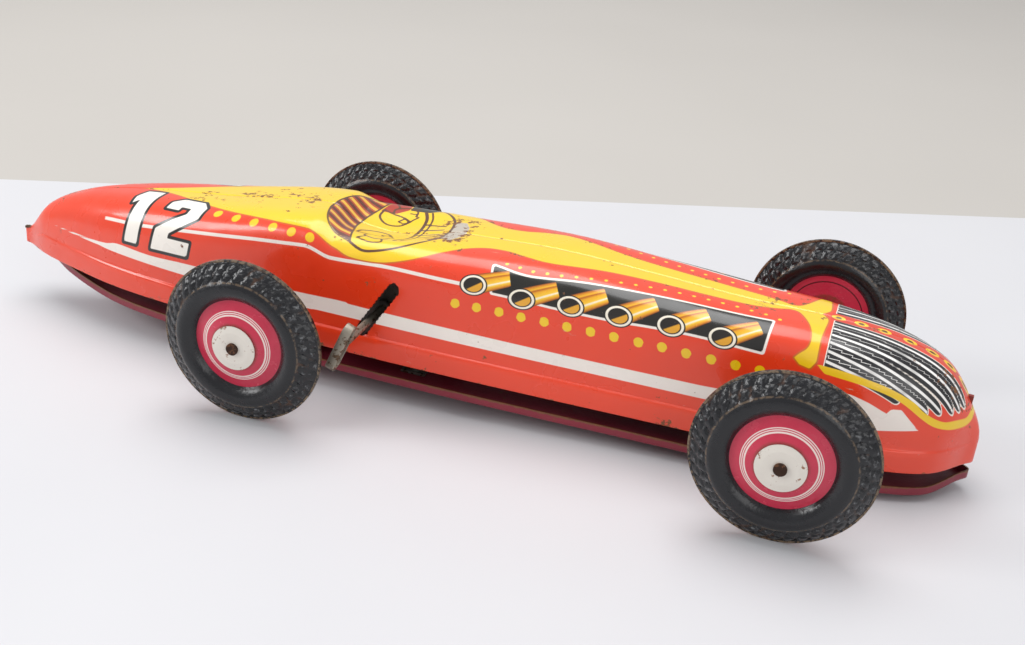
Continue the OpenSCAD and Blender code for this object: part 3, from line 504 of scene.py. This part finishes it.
bare_and_shaded, tree, shader = new_material("dulled_tinplate_and_painted_shade", Metallic=0.7, Roughness=0.5)
# The unprinted back of the sheet: grey tin gone brown and matt; its dark brown is partly tarnish
# and partly painted shade for the shaded inside of the body.
spot = wire(tree, "ShaderNodeTexCoord").node.outputs["Object"]
stain = wire(tree, "ShaderNodeTexNoise", spot, 60.0, 4.0)
tree.links.new(wire(tree, "ShaderNodeMix", stain, linear("6E5B4A"), linear("3F2C20"),
                    data_type="RGBA"), shader.inputs["Base Color"])


def capsule(x, z, a, b, radius):
    """Distance outside a rounded slot from a to b."""
    ex, ez = b[0] - a[0], b[1] - a[1]
    k = np.clip(((x - a[0]) * ex + (z - a[1]) * ez) / (ex * ex + ez * ez), 0, 1)
    return np.hypot(x - a[0] - k * ex, z - a[1] - k * ez) - radius


headrest = np.clip(1 - np.abs(X + 85) / 55, 0, 1) * np.clip(1 - T / 26, 0, 1)
hood_edge = np.clip(1 - np.abs(yellow + 1) / 3, 0, 1) * (X > 5) * (X < 135)
wear_value = union(0.62 * headrest, 0.5 * hood_edge, 0.5 * np.clip(1 - T / 1.6, 0, 1),
                   0.55 * np.clip(1 - Z / 1.6, 0, 1),
                   0.75 * np.clip(1 - np.abs(dash + 1) / 9, 0, 1),
                   0.35 * np.clip(1 - np.abs(well) / 2, 0, 1),
                   0.3 * np.clip(1 - np.hypot(X + 150, T) / 18, 0, 1),
                   0.35 * np.clip((X - 128) / 60, 0, 1) * np.clip(1 - np.abs(T - 5) / 12, 0, 1),
                   0.3 * np.clip(1 - T / 9, 0, 1) * (X > 0))
layers = {"white_low": white_low, "yellow": union(yellow, dot_depth), "border": border,
          "edge": yellow + 0.6, "small": small_depth, "panel": panel, "pipe": pipe,
          "across": across, "ring": ring, "glint": glint, "field": field, "rib": rib,
          "strip": strip, "ovals": ovals, "seat": seat, "dash": dash, "ink": ink,
          "wear": wear_value}


def hole_gap(x, z, side):
    """Distance outside the axle notches and, on the right side, outside the key slot."""
    cuts = [capsule(x, z, (at, NOTCH_FOOT), (at, top), NOTCH_RADIUS) for at, top in NOTCHES]
    if side < 0:
        cuts.append(capsule(x, z, SLOT_FOOT, SLOT_TOP, SLOT_RADIUS))
    return np.min(np.stack(cuts), 0)


index = np.arange(len(stations) * ROW).reshape(-1, ROW)
corners = np.stack([index[:-1, :-1].ravel(), index[1:, :-1].ravel(), index[1:, 1:].ravel(),
                    index[:-1, 1:].ravel()], 1)
nudge = 0.01
for name, side in (("body_shell_right", -1), ("body_shell_left", 1)):
    # Faces in the holes are left out, and the points beside them are drawn on to each hole's edge.
    px, pz = X.copy(), Z.copy()
    gap = hole_gap(px, pz, side)
    faces = corners[gap[corners].sum(1) > 0]
    used = np.zeros(len(gap), bool)
    used[faces.ravel()] = True
    edge = used & (gap < SNAP) & (Z > 0.5)
    for _ in range(4):
        here = hole_gap(px, pz, side)
        gx = (hole_gap(px + nudge, pz, side) - here) / nudge
        gz = (hole_gap(px, pz + nudge, side) - here) / nudge
        px = np.where(edge, px - here * gx, px)
        pz = np.where(edge, pz - here * gz, pz)
    world_x = px * math.cos(RAKE) + (pz + RIM) * math.sin(RAKE)
    world_z = -px * math.sin(RAKE) + (pz + RIM) * math.cos(RAKE)
    verts = np.stack([world_x, Y * side, world_z], 1) / 1000
    piece = mesh_object(name + "_litho", verts, faces if side > 0 else faces[:, ::-1])
    only(piece)
    far = -5 if side < 0 else 0
    own = {"digits": digits_on(side), "patch": patch + far, "shade": shade + far}
    for key, value in {**layers, **own}.items():
        printed = piece.data.attributes.new(key, "FLOAT", "POINT")
        printed.data.foreach_set("value", value.astype(np.float32))
    bpy.ops.object.mode_set(mode="EDIT")
    bpy.ops.mesh.select_all(action="SELECT")
    bpy.ops.mesh.delete_loose()
    bpy.ops.object.mode_set(mode="OBJECT")
    piece.data.materials.append(tin)
    # The inner faces get the dark brown tin, which is partly painted shade.
    piece.data.materials.append(bare_and_shaded)
    # The wall is drawn at 0.7 mm, so that it stays within the frame's sheet.
    wall = piece.modifiers.new("sheet", "SOLIDIFY")
    wall.thickness = 0.0007
    wall.offset = -1
    wall.material_offset = 1
    bpy.ops.object.modifier_apply(modifier="sheet")
    # The inner wall is kept on its own side of the seam.
    co = np.zeros(len(piece.data.vertices) * 3)
    piece.data.vertices.foreach_get("co", co)
    co = co.reshape(-1, 3)
    co[:, 1] = np.maximum(co[:, 1] * side, 0.00001) * side
    piece.data.vertices.foreach_set("co", co.ravel())
    bpy.ops.object.shade_smooth_by_angle(angle=math.radians(38))
    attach(piece, "body")
    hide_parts(name)

# Wheels. Each is two pressed discs of thin tinplate crimped rim to rim, with a tread embossed
# on the shoulder; the outer half is printed with a crimson disc and white rings.
GROOVE = 0.00075
FACE = [(17.5, 3), (18.9, 4.7), (21.3, 5.9), (23.3, 5.8), (25.2, 5.0), (28.4, 3.3), (30.8, 1.3),
        (31.2, 0.6), (32, 0.6)]
tyre, tree, shader = new_material("printed_wheel_tinplate", Roughness=0.4, IOR=1.5)
# Black tyre print with grey on the raised blocks, partly wear and partly a painted highlight on
# their tops, brown rust in the grooves and at the seam, and a crimson disc with fine white rings
# under the same varnish.
spot = wire(tree, "ShaderNodeTexCoord").node.outputs["Object"]
radius = wire(tree, "ShaderNodeAttribute", attribute_name="radius").node.outputs["Fac"]
height = wire(tree, "ShaderNodeAttribute", attribute_name="block").node.outputs["Fac"]
fine = wire(tree, "ShaderNodeTexNoise", spot, 600.0, 4.0, 0.6)
broad_noise = wire(tree, "ShaderNodeTexNoise", spot, 120.0, 4.0, 0.6)
black = wire(tree, "ShaderNodeMix", broad_noise, linear("0B0C0F"), linear("191A1E"),
             data_type="RGBA")
tread_zone = wire(tree, "ShaderNodeMapRange", radius, 24.6, 25.4, 0.0, 1.0)
# Grey on the tread: a wear speckle plus a painted highlight that grows with the height of the
# blocks.
scuff_and_highlight = wire(tree, "ShaderNodeMath", fine, wire(tree, "ShaderNodeMath", height, 0.16,
                                                 operation="MULTIPLY"), operation="ADD")
scuff_and_highlight = wire(tree, "ShaderNodeMath",
             wire(tree, "ShaderNodeMapRange", scuff_and_highlight, 0.70, 0.84, 0.0, 0.6), tread_zone,
             operation="MULTIPLY")
colour = wire(tree, "ShaderNodeMix", scuff_and_highlight, black, linear("7E8082"), data_type="RGBA")
grime = wire(tree, "ShaderNodeMath", broad_noise, wire(tree, "ShaderNodeMath", height, -0.15,
                                                        operation="MULTIPLY"), operation="ADD")
grime = wire(tree, "ShaderNodeMath", wire(tree, "ShaderNodeMapRange", grime, 0.52, 0.66, 0.0, 0.5),
             tread_zone, operation="MULTIPLY")
rusty = wire(tree, "ShaderNodeMix", fine, linear("3B2112"), linear("7A5130"), data_type="RGBA")
colour = wire(tree, "ShaderNodeMix", grime, colour, rusty, data_type="RGBA")
disc = wire(tree, "ShaderNodeMix", broad_noise, linear("BC2440"), linear("CE3D55"),
            data_type="RGBA")
outer_face = wire(tree, "ShaderNodeAttribute", attribute_name="outer").node.outputs["Fac"]
for centre, half in ((13.6, 0.17), (12.95, 0.17), (12.2, 0.28)):
    away = wire(tree, "ShaderNodeMath", wire(tree, "ShaderNodeMath", radius, centre,
                                              operation="SUBTRACT"), operation="ABSOLUTE")
    mask = wire(tree, "ShaderNodeMath", wire(tree, "ShaderNodeMapRange", away, half - 0.06,
                                              half + 0.06, 1.0, 0.0), outer_face,
                operation="MULTIPLY")
    disc = wire(tree, "ShaderNodeMix", mask, disc, linear("EDD9D2"), data_type="RGBA")
away = wire(tree, "ShaderNodeMath", wire(tree, "ShaderNodeMath", radius, 14.9,
                                          operation="SUBTRACT"), operation="ABSOLUTE")
mask = wire(tree, "ShaderNodeMapRange", wire(tree, "ShaderNodeMath", away, outer_face,
                                              operation="ADD"), 0.2, 0.32, 0.9, 0.0)
disc = wire(tree, "ShaderNodeMix", mask, disc, linear("2A1518"), data_type="RGBA")
halo = wire(tree, "ShaderNodeMath", wire(tree, "ShaderNodeMapRange", radius, 8.7, 9.8, 0.9, 0.0),
            wire(tree, "ShaderNodeMapRange", fine, 0.3, 0.7, 0.3, 1.0), operation="MULTIPLY")
disc = wire(tree, "ShaderNodeMix", halo, disc, rusty, data_type="RGBA")
colour = wire(tree, "ShaderNodeMix",
              wire(tree, "ShaderNodeMapRange", radius, 17.35, 17.5, 1.0, 0.0),
              colour, disc, data_type="RGBA")
for centre, half, strength in ((24.9, 0.25, 0.55), (31.7, 0.35, 1.0)):
    away = wire(tree, "ShaderNodeMath", wire(tree, "ShaderNodeMath", radius, centre,
                                              operation="SUBTRACT"), operation="ABSOLUTE")
    mask = wire(tree, "ShaderNodeMath", wire(tree, "ShaderNodeMapRange", away, half - 0.1,
                                              half + 0.15, strength, 0.0),
                wire(tree, "ShaderNodeMapRange", fine, 0.42, 0.56, 0.0, 1.0), operation="MULTIPLY")
    colour = wire(tree, "ShaderNodeMix", mask, colour, linear("7A6650"), data_type="RGBA")
tree.links.new(colour, shader.inputs["Base Color"])
tree.links.new(wire(tree, "ShaderNodeMapRange", broad_noise, 0.3, 0.7, 0.12, 0.32),
               shader.inputs["Roughness"])
tree.links.new(wire(tree, "ShaderNodeBump", 0.3, 0.0006, None, fine).node.outputs["Normal"],
               shader.inputs["Normal"])


def pressed_half(name, body, x, side, out):
    """Revolves one wheel half by extruding its bore ring outwards, then embosses the tread."""
    start = [(1.8, 6.3), (8.2, 6.3), (10.5, 5.6), (16.5, 3.2)] if out else [
        (1.8, 4.5), (4, 4.5), (5, 3), (16.5, 3)]
    section = start + FACE
    path = []
    for (r0, d0), (r1, d1) in zip(section, section[1:]):
        pitch = 0.5 if r0 > 24 else 1.2
        pieces = max(1, int(round(math.hypot(r1 - r0, d1 - d0) / pitch)))
        path += [(r0 + (r1 - r0) * k / pieces, d0 + (d1 - d0) * k / pieces)
                 for k in range(pieces)]
    path.append(section[-1])
    lean = side if out else -side
    hub = (x / 1000, side * 0.063, 0.032)
    bpy.ops.object.select_all(action="DESELECT")
    bpy.ops.mesh.primitive_circle_add(
        vertices=240, radius=path[0][0] / 1000, rotation=(math.pi / 2, 0, 0),
        location=(hub[0], hub[1] + lean * path[0][1] / 1000, hub[2]))
    piece = bpy.context.object
    piece.name = name + "_pressed"
    bpy.ops.object.transform_apply(location=True, rotation=True, scale=True)
    bpy.ops.object.mode_set(mode="EDIT")
    bpy.ops.mesh.select_all(action="SELECT")
    for (r0, d0), (r1, d1) in zip(path, path[1:]):
        bpy.ops.mesh.extrude_region_move(
            TRANSFORM_OT_translate={"value": (0, lean * (d1 - d0) / 1000, 0)})
        bpy.ops.transform.resize(value=(r1 / r0, 1, r1 / r0), center_override=hub)
    bpy.ops.mesh.select_all(action="SELECT")
    bpy.ops.mesh.normals_make_consistent(inside=False)
    bpy.ops.object.mode_set(mode="OBJECT")
    mesh = piece.data
    co = np.zeros(len(mesh.vertices) * 3)
    mesh.vertices.foreach_get("co", co)
    co = co.reshape(-1, 3)
    dx, dz = (co[:, 0] - hub[0]) * 1000, (co[:, 2] - hub[2]) * 1000
    r, a = np.hypot(dx, dz), np.degrees(np.arctan2(dz, dx))
    # Two staggered rows of blocks, 40 round the wheel, with a zigzag groove between them.
    block = np.zeros(len(r))
    for lo, hi, turn_by in ((25.6, 28.2, 0), (28.8, 31.0, 4.5)):
        wave = np.abs(((a + turn_by + (r - lo) * 1.1) / 9) % 1 - 0.5) * 2
        rise = np.clip((wave - 0.2) / 0.25, 0, 1)
        rise *= np.clip((r - lo + 0.3) / 0.5, 0, 1) * np.clip((hi - r + 0.3) / 0.5, 0, 1)
        block = np.maximum(block, rise)
    zone = np.clip((r - 25) / 0.5, 0, 1) * np.clip((31.2 - r) / 0.4, 0, 1)
    co[:, 1] -= lean * GROOVE * (1 - block) * zone
    mesh.vertices.foreach_set("co", co.ravel())
    outer = np.full(len(r), float(out))
    for key, value in (("radius", r), ("block", block * zone), ("outer", outer)):
        printed = mesh.attributes.new(key, "FLOAT", "POINT")
        printed.data.foreach_set("value", value.astype(np.float32))
    wall = piece.modifiers.new("sheet", "SOLIDIFY")
    wall.thickness = 0.0005
    wall.offset = -1
    bpy.context.view_layer.objects.active = piece
    normal = mesh.polygons[len(mesh.polygons) // 2].normal
    if normal[1] * lean < 0:
        mesh.flip_normals()
    bpy.ops.object.modifier_apply(modifier="sheet")
    bpy.ops.object.shade_smooth_by_angle(angle=math.radians(40))
    mesh.materials.append(tyre)
    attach(piece, body)
    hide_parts(name)


for end, x in (("front", 140), ("rear", -60)):
    for word, side in (("right", -1), ("left", 1)):
        pressed_half(f"{end}_{word}_wheel_outer", f"{end}_axle_set", x, side, True)
        pressed_half(f"{end}_{word}_wheel_inner", f"{end}_axle_set", x, side, False)

# Base pan: one shallow tray of tinplate under the body, enamelled maroon, with a raw lip that
# has gone to rust and a long bead pressed along its floor. It is made in mesh code, because its
# outline follows the body's and its bends are rounder than the frame's.
PAN_FLOOR, PAN_WALL, PAN_INSET, TAIL_INSET, PAN_STEPS = 7.5, 3.6, 0.5, 12, 300
pan_x = -HALF * np.cos(math.pi * np.linspace(0.004, 0.996, PAN_STEPS))
pan_w = half_width_at(pan_x) * (1 - PAN_INSET / (WIDTH / 2))
pan_at = pan_x * (1 - PAN_INSET / HALF) + np.where(pan_x < 0, -TAIL_INSET * pan_x / HALF, 0)
pan_z = (PAN_FLOOR + 5 * ease((-pan_at / HALF - 0.72) / 0.25)
         + 2.5 * ease((pan_at / HALF - 0.92) / 0.08))
side_shape = [(0, PAN_WALL), (0, 3.2), (0, 2.2), (0, 1.1), (0.1, 0.55), (0.35, 0.22),
              (0.8, 0.05), (1.4, 0)]
across_shape = np.linspace(1, 0, 13)
pan_verts, pan_lip = [], []
for x, w, z in zip(pan_at, pan_w, pan_z):
    half = [(max(w - inset, 0), z + rise) for inset, rise in side_shape]
    flat_w = max(w - 2, 0)
    for u in across_shape:
        y = flat_w * u
        bead = 0.6 * ease((6 - y) / 2) * ease((110 - abs(x + 5)) / 6)
        half.append((y, z + bead))
    line = [(y, h, h - z) for y, h in half]
    line = [(-y, h, up) for y, h, up in line] + [(y, h, up) for y, h, up in line[-2::-1]]
    for y, h, up in line:
        pan_verts.append(((x * math.cos(RAKE) + h * math.sin(RAKE)) / 1000, y / 1000,
                          (-x * math.sin(RAKE) + h * math.cos(RAKE)) / 1000))
        pan_lip.append(up)
wide = len(line)
at = np.arange(PAN_STEPS * wide).reshape(PAN_STEPS, wide)
tray = mesh_object("base_pan_tray", pan_verts, np.stack([
    at[:-1, :-1].ravel(), at[:-1, 1:].ravel(), at[1:, 1:].ravel(), at[1:, :-1].ravel()], 1))
lip_height = tray.data.attributes.new("lip", "FLOAT", "POINT")
lip_height.data.foreach_set("value", np.array(pan_lip, np.float32))
only(tray)
bpy.ops.object.mode_set(mode="EDIT")
bpy.ops.mesh.select_all(action="SELECT")
bpy.ops.mesh.remove_doubles(threshold=0.000001)
bpy.ops.object.mode_set(mode="OBJECT")
if tray.data.polygons[(PAN_STEPS // 2) * (wide - 1) + wide // 2].normal.z > 0:
    tray.data.flip_normals()
wall = tray.modifiers.new("sheet", "SOLIDIFY")
wall.thickness = 0.0006
wall.offset = -1
bpy.ops.object.modifier_apply(modifier="sheet")
bpy.ops.object.shade_smooth_by_angle(angle=math.radians(40))
# Brushed enamel that drifts in tone over about 20 mm, with rust pits of about 2 mm at the lip.
maroon, tree, shader = new_material("maroon_enamelled_tinplate", Roughness=0.35, IOR=1.5)
spot = wire(tree, "ShaderNodeTexCoord").node.outputs["Object"]
tone = wire(tree, "ShaderNodeTexNoise", spot, 50.0, 4.0, 0.6)
pits = wire(tree, "ShaderNodeTexNoise", spot, 480.0, 5.0, 0.65)
base = wire(tree, "ShaderNodeMix", tone, linear("74182A"), linear("8E2A3A"), data_type="RGBA")
lip = wire(tree, "ShaderNodeAttribute", attribute_name="lip").node.outputs["Fac"]
edge_rust = wire(tree, "ShaderNodeMath", wire(tree, "ShaderNodeMapRange", lip, 2.4, 3.6, 0.0, 0.3),
                 wire(tree, "ShaderNodeMath", wire(tree, "ShaderNodeMath", pits, tone,
                                                    operation="ADD"), 0.5, operation="MULTIPLY"),
                 operation="ADD")
mask = wire(tree, "ShaderNodeMapRange", edge_rust, 0.62, 0.68, 0.0, 0.9)
rusty = wire(tree, "ShaderNodeMix", pits, linear("452314"), linear("8A5A34"), data_type="RGBA")
tree.links.new(wire(tree, "ShaderNodeMix", mask, base, rusty, data_type="RGBA"),
               shader.inputs["Base Color"])
tree.links.new(wire(tree, "ShaderNodeMapRange", tone, 0.3, 0.7, 0.28, 0.5),
               shader.inputs["Roughness"])
tree.links.new(wire(tree, "ShaderNodeBump", 0.25, 0.0005, None, pits).node.outputs["Normal"],
               shader.inputs["Normal"])
tray.data.materials.append(maroon)
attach(tray, "body")
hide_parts("base_pan")

# Carried-over parts: the caps, the axles, the key and the motor keep their frame
# shape and get the finish of the sheet or rod that each is made of. Each row: nodes, dark and
# light colour, stain colour, metallic, roughness, and the noise level above which it is stained.
finishes = {
    # Red print over tin that has rusted through at the nose.
    "rust_stained_tinplate": (("nose_seam_tab",), "7A2419", "8F3122", "4A2616", 0.0, 0.42, 0.47),
    # Cream enamel on small pressed caps, chipped to rust in a few pits.
    "ivory_enamelled_tinplate": (("front_right_hub_cap", "front_left_hub_cap",
                                  "rear_right_hub_cap", "rear_left_hub_cap"),
                                 "D6CFC4", "E2DCD2", "8A5A34", 0.0, 0.4, 0.60),
    # Drawn rod, brown with rust all over, a little grey where it turns.
    "rusted_mild_steel_rod": (("front_axle", "rear_axle"),
                              "4A2A18", "7C5334", "2E1A10", 0.35, 0.7, 0.45),
    # Tinned strip and arbor, dull and warm grey from handling.
    "worn_tinned_steel": (("winding_key", "winding_arbor"),
                          "8F877A", "A9A091", "5F4630", 0.75, 0.42, 0.52),
    # Plain sheet and turned parts inside the body, grey with brown spots.
    "dull_steel_sheet": (("front_axle_bracket", "rear_body_bracket", "motor_plate_right",
                          "motor_plate_left", "motor_pillars", "front_axle_collars",
                          "rear_axle_collars", "rear_axle_pinion", "arbor_collar", "middle_arbor",
                          "ratchet_wheel", "click", "click_stud", "body_rivets", "pan_rivets"),
                         "6E6A64", "85817A", "4E3524", 0.8, 0.45, 0.55),
    # Tempered strip, blue-black and half glossy.
    "blued_spring_steel": (("mainspring", "click_spring"),
                           "2F3640", "454C58", "3A2A20", 0.85, 0.35, 0.6),
    # Gear blanks stamped from brass sheet, gone dark in the pits.
    "rolled_brass": (("great_gear", "middle_gear"), "9C7A34", "B8944A", "5E4522", 0.9, 0.38, 0.58)}
for name, (nodes, dark, light, stained, metal, rough, level) in finishes.items():
    # Colour drifts over about 8 mm and the pits are about 2 mm across.
    material, tree, shader = new_material(name, Metallic=metal)
    spot = wire(tree, "ShaderNodeTexCoord").node.outputs["Object"]
    tone = wire(tree, "ShaderNodeTexNoise", spot, 130.0, 4.0, 0.6)
    pits = wire(tree, "ShaderNodeTexNoise", spot, 520.0, 5.0, 0.65)
    base = wire(tree, "ShaderNodeMix", tone, linear(dark), linear(light), data_type="RGBA")
    patchy = wire(tree, "ShaderNodeMath", wire(tree, "ShaderNodeMath", tone, 0.5,
                                                operation="MULTIPLY"),
                  wire(tree, "ShaderNodeMath", pits, 0.5, operation="MULTIPLY"), operation="ADD")
    mask = wire(tree, "ShaderNodeMapRange", patchy, level, level + 0.04, 0.0, 0.9)
    tree.links.new(wire(tree, "ShaderNodeMix", mask, base, linear(stained), data_type="RGBA"),
                   shader.inputs["Base Color"])
    tree.links.new(wire(tree, "ShaderNodeMapRange", pits, 0.3, 0.7, rough - 0.08, rough + 0.2),
                   shader.inputs["Roughness"])
    tree.links.new(wire(tree, "ShaderNodeBump", 0.25, 0.0004, None, pits).node.outputs["Normal"],
                   shader.inputs["Normal"])
    for node in nodes:
        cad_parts[node].data.materials.clear()
        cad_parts[node].data.materials.append(material)

# Winding key: a steel strip bent to a flat loop; its edges are worn round by fingers.
key = bpy.data.objects.new("key_loop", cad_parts["winding_key"].data.copy())
bpy.context.scene.collection.objects.link(key)
only(key)
bpy.ops.object.mode_set(mode="EDIT")
bpy.ops.mesh.select_all(action="SELECT")
bpy.ops.mesh.remove_doubles(threshold=0.000005)
bpy.ops.mesh.tris_convert_to_quads()
bpy.ops.object.mode_set(mode="OBJECT")
worn = key.modifiers.new("worn_edges", "BEVEL")
worn.width = 0.00028
worn.segments = 3
worn.angle_limit = math.radians(50)
bpy.ops.object.modifier_apply(modifier="worn_edges")
bpy.ops.object.shade_smooth_by_angle(angle=math.radians(40))
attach(key, "arbor_set")
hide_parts("winding_key")
